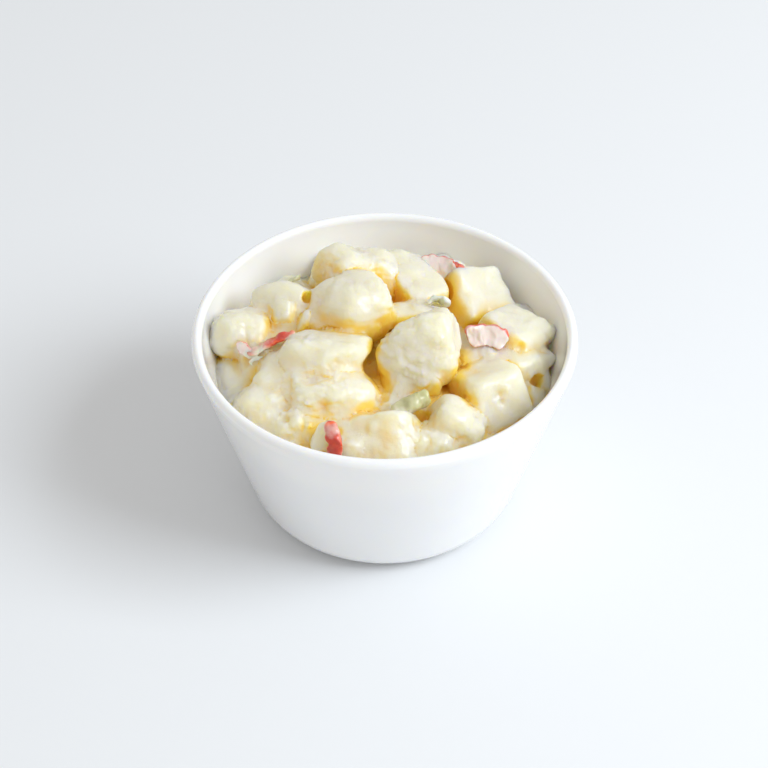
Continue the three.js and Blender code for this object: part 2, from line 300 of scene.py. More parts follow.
def ball_grid(n):
    """Closed ball of six square grids, n cells a side. A grid point (i, j, k) on the cube's skin
    looks along tan(pi/4 (2 (i, j, k) / n - 1)), scaled to length 1, which spaces them evenly."""
    a, b = np.meshgrid(np.arange(n), np.arange(n), indexing="ij")
    a, b = a.ravel(), b.ravel()
    corners = []
    for axis in range(3):
        u, v = (axis + 1) % 3, (axis + 2) % 3
        for side in (0, n):
            quad = np.zeros((n * n, 4, 3), int)
            quad[:, :, axis] = side
            order = ((0, 0), (1, 0), (1, 1), (0, 1))
            for c, (da, db) in enumerate(order if side else order[::-1]):
                quad[:, c, u] = a + da
                quad[:, c, v] = b + db
            corners.append(quad)
    corners = np.concatenate(corners)
    key = (corners * np.array(((n + 1) ** 2, n + 1, 1))).sum(2)
    found, index = np.unique(key.ravel(), return_inverse=True)
    cells = np.stack((found // (n + 1) ** 2, found // (n + 1) % (n + 1), found % (n + 1)), 1)
    direction = np.tan(np.pi / 4 * (2 * cells / n - 1))
    direction /= np.linalg.norm(direction, axis=1, keepdims=True)
    return direction, index.reshape(-1, 4)


def hashed(cell, seed):
    """Repeatable pseudo-random 0..1 numbers for whole-number lattice cells."""
    h = (cell[..., 0] * 73856093) ^ (cell[..., 1] * 19349663) ^ (cell[..., 2] * 83492791)
    h = (h ^ (seed * 2654435761)) & 0xFFFFFFFF
    h = ((h ^ (h >> 16)) * 0x45D9F3B) & 0xFFFFFFFF
    h = ((h ^ (h >> 16)) * 0x45D9F3B) & 0xFFFFFFFF
    return ((h ^ (h >> 16)) & 0xFFFFFF) / 0xFFFFFF


def corners_of(cell):
    """The eight lattice cells at a point's corners, each with its offset of 0 or 1."""
    for offset in np.ndindex(2, 2, 2):
        yield np.array(offset), cell + np.array(offset)


def noise(points, size, seed):
    """Smooth value noise of -1..1 whose lumps are `size` across: lattice values joined by the
    curve t^3 (6 t^2 - 15 t + 10) along each axis."""
    place = points / size + 1000.0
    cell = np.floor(place).astype(np.int64)
    t = place - cell
    t = t * t * t * (t * (6 * t - 15) + 10)
    total = np.zeros(len(points))
    for offset, corner in corners_of(cell):
        total += np.prod(np.where(offset, t, 1 - t), axis=1) * hashed(corner, seed)
    return 2 * total - 1


def grains(points, size, share, seed):
    """Round grains scattered at random: a share of the lattice cells holds a ball whose radius is
    0.22 to 0.5 of a cell, and inside it the height is (1 - (distance / radius)^2) 2 radius, with
    the radius and distance in cells."""
    place = points / size + 1000.0
    cell = np.floor(place - 0.5).astype(np.int64)
    height = np.zeros(len(points))
    for _, corner in corners_of(cell):
        middle = corner + np.stack([hashed(corner, seed + i) for i in range(3)], 1) * 0.6 + 0.2
        radius = 0.22 + 0.28 * hashed(corner, seed + 3)
        away = ((place - middle) ** 2).sum(1)
        here = np.where(hashed(corner, seed + 4) < share, 1 - away / radius**2, 0)
        height = np.maximum(height, here * radius * 2)
    return height


def relief(points):
    """Surface of mashed edges and dressing, in units of a piece's roughness: soft folds, lumps with
    sharp valleys between them (|noise|^p), torn ridges drawn out along x, crumbs of two sizes and
    a fine skin. All but folds and skin come and go in patches, and a slow warp bends all but the
    skin."""
    warp = np.stack([noise(points, FOLD_SIZE, seed) for seed in (11, 12, 13)], 1)
    folds = noise(points + 1.6 * warp, FOLD_SIZE, 21)
    lumps = np.abs(noise(points + 1.2 * warp, LUMP_SIZE, 22)) ** 0.7
    small = np.abs(noise(points + 0.8 * warp, SMALL_LUMP_SIZE, 24)) ** 0.8
    torn = np.abs(noise((points + 1.5 * warp) * (0.45, 1.0, 1.2), TORN_SIZE, 25))
    crumbs = grains(points + 0.4 * warp, GRAIN_SIZE, 0.45, 41)
    fine = grains(points + 0.3 * warp, FINE_GRAIN_SIZE, 0.4, 51)
    patch = np.clip(0.75 + 1.6 * noise(points, PATCH_SIZE, 26), 0.15, 1.6)
    crags = 0.9 * (lumps - 0.5) + 0.35 * (small - 0.4) + 0.3 * (torn - 0.3) + 0.6 * crumbs + 0.35 * fine
    return folds + patch * crags + 0.08 * noise(points, SKIN_SIZE, 23)


def wobble(points):
    """Slow displacement of space that makes flat faces and straight edges uneven: three noises,
    one for each axis, at every size in the list."""
    return sum(far * np.stack([noise(points, size, seed) for seed in (61, 62, 63)], 1)
               for far, size in WOBBLES)


def gauge(x, p):
    """Size of x in units of a piece: (sum |x_i / half_i|^s + sum max(0, x.n / reach)^s)^(1/s), with
    one n and reach for each extra flat side. It is 1 on the piece's surface."""
    total = (np.abs(x / p.half) ** p.square).sum(1)
    for nx, ny, nz, reach in p.sides:
        n = np.array((nx, ny, nz)) / np.linalg.norm((nx, ny, nz))
        total += (np.maximum(0, x @ n) / reach) ** p.square
    return np.maximum(total, 1e-12) ** (1 / p.square)


def outside(points, p):
    """Distance from a piece's surface, negative inside: |x| (1 - 1 / gauge)."""
    x = (points - p.at) @ turned(p.turn)
    return np.linalg.norm(x, axis=1) * (1 - 1 / gauge(x, p))


def dressing_level(x, y):
    """Height of the dressing between the pieces: a low dome, tilted down to the right."""
    share = np.clip(np.hypot(x, y) / RIM_RADIUS, 0, 1)
    dome = DRESSING_AT_WALL + (DRESSING_AT_MIDDLE - DRESSING_AT_WALL) * (1 - share**2)
    return dome - np.tan(DRESSING_TILT) * x


def heap_distance(points, near, moved=0.0):
    """Distance from the dressed heap: the distances d of the dressing and the pieces joined softly
    by -F log(sum exp(-d / F)), where F is the softness of the coats near the point, with the
    blobs added and the pits cut out. Also gives each one's share in that sum, the dressing
    first."""
    points = points + moved
    away = [DRESSING_STEEPNESS * (points[:, 2] - dressing_level(points[:, 0], points[:, 1]))]
    away = np.array(away + [outside(points, p) for p in near])
    least = away.min(0)
    first = np.exp(-(away - least) / DRESSING_COAT)
    soft = np.array([DRESSING_COAT] + [p.coat for p in near]) @ first / first.sum(0)
    weight = np.exp(-(away - least) / soft)
    total = weight.sum(0)
    distance = least - soft * np.log(total)
    for at, radius, soft in BLOBS:
        blob = np.linalg.norm(points - np.array(at), axis=1) - radius
        distance = -soft * np.logaddexp(-distance / soft, -blob / soft)
    for at, radius in PITS:
        hollow = radius - np.linalg.norm(points - np.array(at), axis=1)
        distance = PIT_EDGE * np.logaddexp(distance / PIT_EDGE, hollow / PIT_EDGE)
    return distance, weight / total


def inner_radius(z):
    """Radius of the cup's inner wall at height z."""
    z = np.minimum(z, CUP_HEIGHT - LIP_DROP)
    return BASE_CORNER_RADIUS + SIDE_SLOPE * z - WALL_ACROSS


def inside_cup(points):
    """Points moved in so that none lies more than WALL_SMEAR beyond the cup's inner wall."""
    reach = np.hypot(points[:, 0], points[:, 1])
    limit = inner_radius(points[:, 2]) + WALL_SMEAR
    points[:, :2] *= np.minimum(1, limit / np.maximum(reach, 1e-6))[:, None]
    return points


def covered(share, own):
    """How far another surface covers one's own, 0..1: 1 - margin own / (largest other share)."""
    others = np.delete(share, own, axis=0).max(0)
    return np.clip(1 - COVER_MARGIN * share[own] / others, 0, 1)


def dressed(p, cells, strength):
    """One piece in its dressing. A point leaves the piece's middle along a ball grid's direction d
    and stops where the heap's distance is zero, within the swell and sink limits of the bare
    piece's own radius 1 / gauge(d). Where other pieces cover it, it dips below them."""
    direction, quads = ball_grid(cells)
    own = 1 / gauge(direction, p)
    ray = direction @ turned(p.turn).T
    near = [p] + [q for q in HEAP if q is not p
                  and np.linalg.norm(q.at - p.at) < p.half.max() + q.half.max() + NEIGHBOUR_REACH]
    rough = np.array([DRESSING_ROUGH] + [q.rough for q in near])
    radius = own.copy()
    for step in range(STEPS):
        points = p.at + ray * radius[:, None]
        if step in WOBBLE_STEPS:
            moved = wobble(points)
        distance, _ = heap_distance(points, near, moved)
        radius = np.clip(radius - EASE * distance, own - SINK_LIMIT, own + SWELL_LIMIT)
    points = p.at + ray * radius[:, None]
    share = heap_distance(points, near, moved)[1]
    raised = strength * (rough @ share) * relief(points) - UNDERCUT * covered(share, 1)
    return inside_cup(points + ray * raised[:, None]), quads


def felt(points, outward):
    """Two marks of each point: how deep it lies in a crevice, 0..1, from how little open space
    there is at three distances outward, and how bare the flesh is there, times a painted shade
    that is most on the side turned from the lamp."""
    here, share = heap_distance(points, HEAP)
    sunk = np.minimum(here + RELIEF_DEPTH, 0)
    hollow = np.zeros(len(points))
    for reach, weight in PROBES:
        away = heap_distance(points + outward * reach, HEAP)[0] - sunk
        hollow += weight * np.clip(1 - away / reach, 0, 1)
    # painted shade: the flesh colour shows more on the side turned from the lamp
    side = np.clip(BARE_EVERYWHERE + outward @ np.array(PAINTED_SHADE_SIDE), 0, 1)
    return hollow, (np.array([0.0] + [p.bare for p in HEAP]) @ share) * side


def near_wall(points):
    """Mark of each point: 1 where the food ends in the cup's wall, down to 0 at WALL_FILM from there."""
    gap = inner_radius(points[:, 2]) + WALL_SMEAR - np.hypot(points[:, 0], points[:, 1])
    return np.clip(1 - gap / WALL_FILM, 0, 1)


def ring_faces(rings, count):
    """Faces of a grid of rings of points: four-cornered between the rings, three-cornered to the
    two end points that follow them. The outside is to the left of the way along the rings."""
    i, j = np.meshgrid(np.arange(rings - 1), np.arange(count), indexing="ij")
    k = (j + 1) % count
    quads = np.stack((i * count + j, i * count + k, (i + 1) * count + k, (i + 1) * count + j), 2)
    j = np.arange(count)
    k = (j + 1) % count
    first, last = np.full(count, rings * count), np.full(count, rings * count + 1)
    top = (rings - 1) * count
    caps = np.concatenate((np.stack((first, k, j), 1), np.stack((last, top + j, top + k), 1)))
    return quads.reshape(-1, 4), caps


def bare_mesh(name, points, faces):
    """A smooth-shaded mesh from points in mm and arrays of faces."""
    mesh = bpy.data.meshes.new(name)
    corners = np.concatenate([f.ravel() for f in faces])
    sizes = np.concatenate([np.full(len(f), f.shape[1]) for f in faces])
    mesh.vertices.add(len(points))
    mesh.vertices.foreach_set("co", (points * MM).astype(np.float32).ravel())
    mesh.loops.add(len(corners))
    mesh.loops.foreach_set("vertex_index", corners.astype(np.int32))
    mesh.polygons.add(len(sizes))
    mesh.polygons.foreach_set("loop_start", (np.cumsum(sizes) - sizes).astype(np.int32))
    mesh.update(calc_edges=True)
    mesh.shade_smooth()
    return mesh


def placed(mesh, material, node, **marks):
    """The mesh as an object with named point attributes; it rides on the body and stands for the
    named node."""
    for key, values in marks.items():
        mark = mesh.attributes.new(key, "FLOAT", "POINT")
        mark.data.foreach_set("value", values.astype(np.float32))
    mesh.materials.clear()
    mesh.materials.append(material)
    made = bpy.data.objects.new(mesh.name, mesh)
    bpy.context.scene.collection.objects.link(made)
    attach(made, "root")
    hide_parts(node)
    return made


def united(meshes, name):
    """Closed meshes united into one closed mesh."""
    scene = bpy.context.scene
    tools = bpy.data.collections.new("pieces_to_unite")
    scene.collection.children.link(tools)
    solids = [bpy.data.objects.new(mesh.name, mesh) for mesh in meshes]
    scene.collection.objects.link(solids[0])
    for solid in solids[1:]:
        tools.objects.link(solid)
    union = solids[0].modifiers.new("union", "BOOLEAN")
    union.operation = "UNION"
    union.operand_type = "COLLECTION"
    union.collection = tools
    union.solver = "MANIFOLD"
    graph = bpy.context.evaluated_depsgraph_get()
    whole = bpy.data.meshes.new_from_object(solids[0].evaluated_get(graph))
    whole.name = name
    for solid, mesh in zip(solids, meshes):
        bpy.data.objects.remove(solid)
        bpy.data.meshes.remove(mesh)
    bpy.data.collections.remove(tools)
    return whole


def read(items, key, width):
    """A property of all mesh items as an array of rows."""
    values = np.empty(len(items) * width, np.float32)
    items.foreach_get(key, values)
    return values.reshape(-1, width).astype(float)


def revolved(profile, count):
    """Closed surface of revolution about Z: the profile's points (r, z) at `count` angles, with
    the two ends on the axis joined to one point each."""
    r, z = profile[1:-1, 0], profile[1:-1, 1]
    angle = np.linspace(0, 2 * np.pi, count, endpoint=False)
    ring = np.stack((np.outer(r, np.cos(angle)), np.outer(r, np.sin(angle)),
                     np.repeat(z[:, None], count, 1)), 2).reshape(-1, 3)
    points = np.concatenate((ring, [(0, 0, profile[0, 1]), (0, 0, profile[-1, 1])]))
    return points, ring_faces(len(r), count)


def round_corner(before, corner, after, radius, steps):
    """Arc of the given radius that joins two straight lines at a corner: its centre lies on the
    corner's bisector at radius / sin(half the angle)."""
    before, corner, after = (np.array(p, float) for p in (before, corner, after))
    u = (before - corner) / np.linalg.norm(before - corner)
    v = (after - corner) / np.linalg.norm(after - corner)
    half = np.arccos(np.clip(u @ v, -1, 1)) / 2
    centre = corner + (u + v) / np.linalg.norm(u + v) * radius / np.sin(half)
    start = corner + u * radius / np.tan(half) - centre
    end = corner + v * radius / np.tan(half) - centre
    a, b = np.arctan2(start[1], start[0]), np.arctan2(end[1], end[0])
    b = a + (b - a + np.pi) % (2 * np.pi) - np.pi
    t = np.linspace(a, b, steps)
    return centre + radius * np.stack((np.cos(t), np.sin(t)), 1)


def straight(a, b, steps):
    """Points from a to b, both ends left out."""
    t = np.linspace(0, 1, steps + 2)[1:-1, None]
    return np.array(a, float) * (1 - t) + np.array(b, float) * t


def cup_profile():
    """Outline of the cup's section from the middle of its base, up the outside, over the lip and
    down the inside to the middle of its floor."""
    lip_start = (RIM_RADIUS, CUP_HEIGHT - LIP_DROP)
    shoulder = round_corner((0, 0), (BASE_CORNER_RADIUS, 0), lip_start, SHOULDER_RADIUS, 20)
    inner_top = (float(inner_radius(lip_start[1])), lip_start[1])
    floor_corner = (float(inner_radius(FLOOR)), FLOOR)
    inner = round_corner((0, FLOOR), floor_corner, inner_top, INNER_SHOULDER_RADIUS, 14)[::-1]
    half = (lip_start[0] - inner_top[0]) / 2
    angle = np.linspace(0, np.pi, 24)
    lip = np.stack((inner_top[0] + half + half * np.cos(angle), lip_start[1] + LIP_DROP * np.sin(angle)), 1)
    return np.concatenate((
        [(0, 0)], straight((0, 0), shoulder[0], 4), shoulder, straight(shoulder[-1], lip[0], 16),
        lip, straight(lip[-1], inner[0], 16), inner, straight(inner[-1], (0, FLOOR), 4), [(0, FLOOR)],
    ))


def dressing_surface(strength):
    """The dressing's core. Its top is a polar grid (radius, angle) whose height starts at the
    dressing's own level and goes up to where the heap's distance is zero; from its edge, which
    meets the cup's inner wall, a closed skin goes down the wall and across."""
    rings, count = DRESSING_GRID
    share = np.linspace(0, 1, rings + 1)[1:]
    angle = np.linspace(0, 2 * np.pi, count, endpoint=False)
    reach = inner_radius(DRESSING_AT_WALL) + WALL_SMEAR
    x = np.append(np.outer(reach * share, np.cos(angle)), 0.0)
    y = np.append(np.outer(reach * share, np.sin(angle)), 0.0)
    level = dressing_level(x, y)
    z = level.copy()
    for step in range(STEPS):
        points = np.stack((x, y, z), 1)
        if step in WOBBLE_STEPS:
            moved = wobble(points)
        distance, _ = heap_distance(points, HEAP, moved)
        z = np.clip(z - EASE * distance, level - DRESSING_SINK, level + DRESSING_RISE)
    points = np.stack((x, y, z), 1)
    weight = heap_distance(points, HEAP, moved)[1]
    points[:, 2] += strength * DRESSING_ROUGH * relief(points) - UNDERCUT * covered(weight, 0)
    out = np.append(np.repeat(share, count), 0)
    grown = (inner_radius(points[:, 2]) + WALL_SMEAR) / reach
    points[:, :2] *= (1 + (grown - 1) * out**8)[:, None]
    edge = points[(rings - 1) * count:rings * count]
    low_z = edge[:, 2] - DRESSING_DEPTH
    low_r = inner_radius(low_z) + WALL_SMEAR
    low = np.stack((low_r * np.cos(angle), low_r * np.sin(angle), low_z), 1)
    skin = np.concatenate((points[:-1], low, points[-1:], [(0, 0, low_z.mean())]))
    quads, caps = ring_faces(rings + 1, count)
    return skin, (quads[:, ::-1], caps[:, ::-1])


def strip_surface(s):
    """One strip: a section (|a / width|^3 + |b / thickness|^3 = 1) swept along a curve through
    three points, curled by bend (a / width)^2, with blunt ends (1 - |2t - 1|^9)^(1/3). Its skin
    mark is b on the two faces, plus 1.2 |a|^6 at the edges and 1.3 |2t - 1|^10 at the ends, with
    a and b from -1 to 1."""
    along, around = STRIP_GRID
    t = (np.arange(along) + 0.5) / along
    p0, p1, p2 = s.path
    bent = 2 * p1 - (p0 + p2) / 2
    path = np.outer((1 - t)**2, p0) + np.outer(2 * t * (1 - t), bent) + np.outer(t**2, p2)
    way = np.outer(1 - t, bent - p0) + np.outer(t, p2 - bent)
    way /= np.linalg.norm(way, axis=1, keepdims=True)
    face = np.cross(way, s.across)
    face /= np.linalg.norm(face, axis=1, keepdims=True)
    wide = np.cross(face, way)
    angle = np.linspace(0, 2 * np.pi, around, endpoint=False)
    c, d = np.cos(angle), np.sin(angle)
    a = np.sign(c) * np.abs(c) ** (2 / 3)
    b = np.sign(d) * np.abs(d) ** (2 / 3)
    blunt = (1 - np.abs(2 * t - 1) ** 9) ** (1 / 3)
    width, thick = s.half
    points = (path[:, None] + (blunt[:, None] * a)[:, :, None] * width * wide[:, None]
              + (blunt[:, None] * b * thick - s.bend * a**2)[:, :, None] * face[:, None])
    skin = (b + 1.2 * np.abs(a) ** 6 + 1.3 * np.abs(2 * t - 1)[:, None] ** 10).ravel()
    points = np.concatenate((points.reshape(-1, 3), [p0, p2]))
    for far, size in STRIP_WOBBLES:
        points = points + far * np.stack([noise(points, size, i) for i in (71, 72, 73)], 1)
    cover = heap_distance(points, HEAP)[0]
    quads, caps = ring_faces(along, around)
    return points, quads, caps, np.append(skin, (0, 0)), cover


def strips_mesh(name, strips, material):
    """All strips of one vegetable as one object, with three marks: skin, how far the point stands
    clear of the heap (cover), and how pale its strip is."""
    points, quads, caps, skin, cover, pale, start = [], [], [], [], [], [], 0
    for s in strips:
        part = strip_surface(s)
        points.append(part[0])
        quads.append(part[1] + start)
        caps.append(part[2] + start)
        skin.append(part[3])
        cover.append(part[4])
        pale.append(np.full(len(part[0]), s.pale))
        start += len(part[0])
    mesh = bare_mesh(name, np.concatenate(points), (np.concatenate(quads), np.concatenate(caps)))
    return placed(mesh, material, "potato_salad", skin=np.concatenate(skin),
                  cover=np.concatenate(cover), pale=np.concatenate(pale))


# ---------------------------------------------------------------- materials


def linear(code):
    """sRGB hex colour as linear RGBA."""
    srgb = np.array([int(code.lstrip("#")[i:i + 2], 16) for i in (0, 2, 4)]) / 255
    low, high = srgb / 12.92, ((srgb + 0.055) / 1.055) ** 2.4
    return (*np.where(srgb <= 0.04045, low, high).tolist(), 1.0)


def add(tree, kind, links=None, **settings):
    """Adds a shader node. A setting is a property of the node, or else the value of an input: by
    its name with _ for spaces, or by its number after a _. Links join inputs to outputs."""
    node = tree.nodes.new(kind)
    for key, value in settings.items():
        if hasattr(node, key):
            setattr(node, key, value)
        else:
            name = int(key[1:]) if key[0] == "_" else key.replace("_", " ")
            node.inputs[name].default_value = value
    for key, source in (links or {}).items():
        tree.links.new(source, node.inputs[key])
    return node


def scale_of(size):
    """Noise scale whose blotches are `size` mm across."""
    return 1 / (size * MM)


def blank(name):
    """A new node material with only its output."""
    material = bpy.data.materials.new(name)
    material.use_nodes = True
    tree = material.node_tree
    tree.nodes.clear()
    return material, tree, tree.nodes.new("ShaderNodeOutputMaterial").inputs[0]


def mixed(tree, share, low, high):
    """Colour mix node's output: low and high are colours or sockets."""
    node = tree.nodes.new("ShaderNodeMix")
    node.data_type = "RGBA"
    tree.links.new(share, node.inputs[0])
    for index, value in ((6, low), (7, high)):
        if isinstance(value, bpy.types.NodeSocket):
            tree.links.new(value, node.inputs[index])
        else:
            node.inputs[index].default_value = value
    return node.outputs[2]


def ramp(tree, value, start, end, low=0.0, high=1.0):
    """Output of a smooth step from low to high while the value goes from start to end."""
    return add(tree, "ShaderNodeMapRange", {0: value}, interpolation_type="SMOOTHSTEP",
               _1=start, _2=end, _3=low, _4=high).outputs[0]


def glaze():
    """Slip-cast white porcelain under clear glaze: pale neutral body that lets a little light in,
    sharp mirror-like sheen, and the very faint unevenness of a poured glaze."""
    colours = bpy.context.scene.salad
    material, tree, out = blank("glazed_porcelain")
    place = add(tree, "ShaderNodeTexCoord").outputs["Object"]
    wave = add(tree, "ShaderNodeTexNoise", {"Vector": place}, Scale=scale_of(GLAZE_WAVE),
               Detail=2.0).outputs["Fac"]
    bump = add(tree, "ShaderNodeBump", {"Height": wave}, Strength=0.05, Distance=0.0005)
    tint = mixed(tree, wave, colours.glaze, linear("#F3F3F3"))
    body = add(tree, "ShaderNodeBsdfPrincipled", {"Base Color": tint, "Normal": bump.outputs[0]},
               Roughness=0.22, IOR=1.5, Subsurface_Weight=0.8, Subsurface_Scale=0.0025,
               Subsurface_Radius=(1.0, 0.9, 0.7), Coat_Weight=0.6, Coat_Roughness=0.06)
    tree.links.new(body.outputs[0], out)
    return material


def potato():
    """Boiled potato in mayonnaise: cream dressing, mottled where it lies thin, with a wet but soft
    sheen. Bare flesh shows pale yellow, painted in more strongly on the side turned from the lamp
    as painted shade. Folds and crevices are painted yellow to amber as painted shade, for light that
    goes in and comes back there several times. The edge at the cup's wall is too thin to glow."""
    colours = bpy.context.scene.salad
    material, tree, out = blank("potato_in_mayonnaise")
    place = add(tree, "ShaderNodeTexCoord").outputs["Object"]
    bare = add(tree, "ShaderNodeAttribute", attribute_name="bare").outputs["Fac"]
    hollow = add(tree, "ShaderNodeAttribute", attribute_name="hollow").outputs["Fac"]
    wall = add(tree, "ShaderNodeAttribute", attribute_name="wall").outputs["Fac"]
    patches = add(tree, "ShaderNodeTexNoise", {"Vector": place}, Scale=scale_of(DRESSING_PATCH),
                  Detail=4.0).outputs["Fac"]
    # bare flesh in random patches, partly real and partly painted shade on the side turned from the lamp
    bare_and_shaded = add(tree, "ShaderNodeMath", {0: patches, 1: bare}, operation="MULTIPLY").outputs[0]
    cream = mixed(tree, patches, colours.dressing_thin, colours.dressing)
    flesh = mixed(tree, ramp(tree, bare_and_shaded, 0.0, 0.5), cream, colours.flesh)
    # painted shade: folds and crevices turn yellow by how deep they lie
    crevice_shade = mixed(tree, ramp(tree, hollow, 0.15, 0.8), flesh, colours.crevice_shade)
    # painted shade: the deepest crevices turn amber
    tone = mixed(tree, ramp(tree, hollow, 0.85, 1.0), crevice_shade, linear("#E0A92E"))
    fine = add(tree, "ShaderNodeTexNoise", {"Vector": place}, Scale=scale_of(DRESSING_GRAIN),
               Detail=3.0).outputs["Fac"]
    bump = add(tree, "ShaderNodeBump", {"Height": fine}, Strength=0.35, Distance=0.0004)
    body = add(tree, "ShaderNodeBsdfPrincipled",
               {"Base Color": tone, "Normal": bump.outputs[0],
                "Subsurface Weight": ramp(tree, wall, 0.0, 1.0, 1.0, 0.15)},
               Roughness=0.36, IOR=1.45, Specular_IOR_Level=0.4, Subsurface_Scale=0.01,
               Subsurface_Radius=(1.0, 0.9, 0.3), Coat_Weight=0.3, Coat_Roughness=0.08)
    tree.links.new(body.outputs[0], out)
    return material


def pepper():
    """Cut red pepper: glossy red skin with orange edges, pale pink flesh on the other side, a milky
    film of dressing in blotches, and cream dressing where the strip dips into the heap."""
    colours = bpy.context.scene.salad
    material, tree, out = blank("red_pepper")
    place = add(tree, "ShaderNodeTexCoord").outputs["Object"]
    skin = add(tree, "ShaderNodeAttribute", attribute_name="skin").outputs["Fac"]
    cover = add(tree, "ShaderNodeAttribute", attribute_name="cover").outputs["Fac"]
    pale = add(tree, "ShaderNodeAttribute", attribute_name="pale").outputs["Fac"]
    blotch = add(tree, "ShaderNodeTexNoise", {"Vector": place}, Scale=scale_of(PEPPER_BLOTCH),
                 Detail=4.0).outputs["Fac"]
    film = add(tree, "ShaderNodeTexNoise", {"Vector": place}, Scale=scale_of(PEPPER_FILM),
               Detail=3.0).outputs["Fac"]
    red = mixed(tree, blotch, colours.pepper_skin, linear("#E8583A"))
    flesh = mixed(tree, blotch, colours.pepper_flesh, linear("#F0D6CB"))
    fruit = mixed(tree, ramp(tree, skin, -0.2, 0.6), flesh, red)
    edged = mixed(tree, ramp(tree, skin, 1.0, 1.6), fruit, linear("#F26B3A"))
    veil = add(tree, "ShaderNodeMath", {0: pale, 1: skin}, operation="SUBTRACT").outputs[0]
    veiled = mixed(tree, ramp(tree, veil, -0.35, 1.0, 0.0, 0.9), edged, linear("#F0E6E0"))
    milky = mixed(tree, ramp(tree, film, 0.4, 0.7, 0.0, 0.55), veiled, linear("#F1DFD6"))
    smear = add(tree, "ShaderNodeMath", {0: blotch, 1: cover}, operation="SUBTRACT").outputs[0]
    tone = mixed(tree, ramp(tree, smear, -0.4, 0.8), milky, linear("#F3EDDB"))
    bump = add(tree, "ShaderNodeBump", {"Height": blotch}, Strength=0.25, Distance=0.0004)
    body = add(tree, "ShaderNodeBsdfPrincipled", {"Base Color": tone, "Normal": bump.outputs[0]},
               Roughness=0.3, IOR=1.42, Subsurface_Weight=0.5, Subsurface_Scale=0.0015,
               Subsurface_Radius=(1.0, 0.35, 0.2), Coat_Weight=0.5, Coat_Roughness=0.1)
    tree.links.new(body.outputs[0], out)
    return material


def celery():
    """Cut celery: watery pale green, mottled and half clear, nearly white where it is the inside of
    a stalk, and smeared with cream dressing where it dips into the heap."""
    colours = bpy.context.scene.salad
    material, tree, out = blank("celery")
    place = add(tree, "ShaderNodeTexCoord").outputs["Object"]
    cover = add(tree, "ShaderNodeAttribute", attribute_name="cover").outputs["Fac"]
    pale = add(tree, "ShaderNodeAttribute", attribute_name="pale").outputs["Fac"]
    blotch = add(tree, "ShaderNodeTexNoise", {"Vector": place}, Scale=scale_of(CELERY_BLOTCH),
                 Detail=4.0).outputs["Fac"]
    green = mixed(tree, blotch, colours.celery, linear("#E2DEBE"))
    stalk = mixed(tree, pale, green, linear("#DDE2DA"))
    smear = add(tree, "ShaderNodeMath", {0: blotch, 1: cover}, operation="SUBTRACT").outputs[0]
    tone = mixed(tree, ramp(tree, smear, -1.4, 0.5), stalk, linear("#ECE8D0"))
    bump = add(tree, "ShaderNodeBump", {"Height": blotch}, Strength=0.3, Distance=0.0004)
    body = add(tree, "ShaderNodeBsdfPrincipled", {"Base Color": tone, "Normal": bump.outputs[0]},
               Roughness=0.3, IOR=1.4, Subsurface_Weight=0.7, Subsurface_Scale=0.003,
               Subsurface_Radius=(0.8, 1.0, 0.5), Coat_Weight=0.4, Coat_Roughness=0.12)
    tree.links.new(body.outputs[0], out)
    return material


def tabletop():
    """Matt white paper sheet, which scatters light evenly."""
    material, tree, out = blank("white_paper_sheet")
    body = add(tree, "ShaderNodeBsdfPrincipled", Roughness=0.9, Base_Color=linear("#E8E9EA"))
    tree.links.new(body.outputs[0], out)
    return material


def made(key, maker):
    """The named material, made on first use."""
    return bpy.data.materials.get(key) or maker()


# ---------------------------------------------------------------- operators


def colour(name, description, code):
    """A colour setting whose default is the sRGB hex colour."""
    return FloatVectorProperty(name=name, description=description, default=linear(code), size=4,
                               subtype="COLOR", min=0.0, max=1.0)


class SaladSettings(bpy.types.PropertyGroup):
    """Sizes and colours that a user would change."""

    cup_sides: IntProperty(name="Cup sides", description="Facets round the cup", default=256, min=48)
    cells_per_mm: FloatProperty(name="Cells per mm", description="Grid cells along a potato piece's side"
                                " for each mm of its mean half size", default=3.45, min=0.5)
    roughness: FloatProperty(name="Roughness", description="Height of the folds, lumps and crumbs,"
                             " where 1 is potato boiled soft", default=1.0, min=0.0, max=2.0,
                             subtype="FACTOR")
    glaze: colour("Glaze", "Cup's colour", "#F0F0F0")
    dressing: colour("Dressing", "Where it lies thick", "#E9E6D8")
    dressing_thin: colour("Thin dressing", "Where potato shows through", "#E4DCC0")
    # bare flesh, also painted as shade on the side turned from the lamp
    flesh: colour("Potato", "Bare potato flesh", "#F2D07C")
    # painted shade: the colour painted into folds and crevices
    crevice_shade: colour("Folds", "Dressing in folds and crevices", "#F4D260")
    pepper_skin: colour("Pepper skin", "Darker blotches of the skin", "#B4302A")
    pepper_flesh: colour("Pepper flesh", "Pinker blotches of the flesh", "#E9B9A9")
    celery: colour("Celery", "Greener blotches", "#ACA864")


class SALAD_OT_cup(bpy.types.Operator):
    """Build the glazed cup"""

    bl_idname = "salad.cup"
    bl_label = "Glazed cup"

    def execute(self, context):
        points, faces = revolved(cup_profile(), context.scene.salad.cup_sides)
        placed(bare_mesh("glazed_cup", points, faces), made("glazed_porcelain", glaze), "cup")
        return {"FINISHED"}


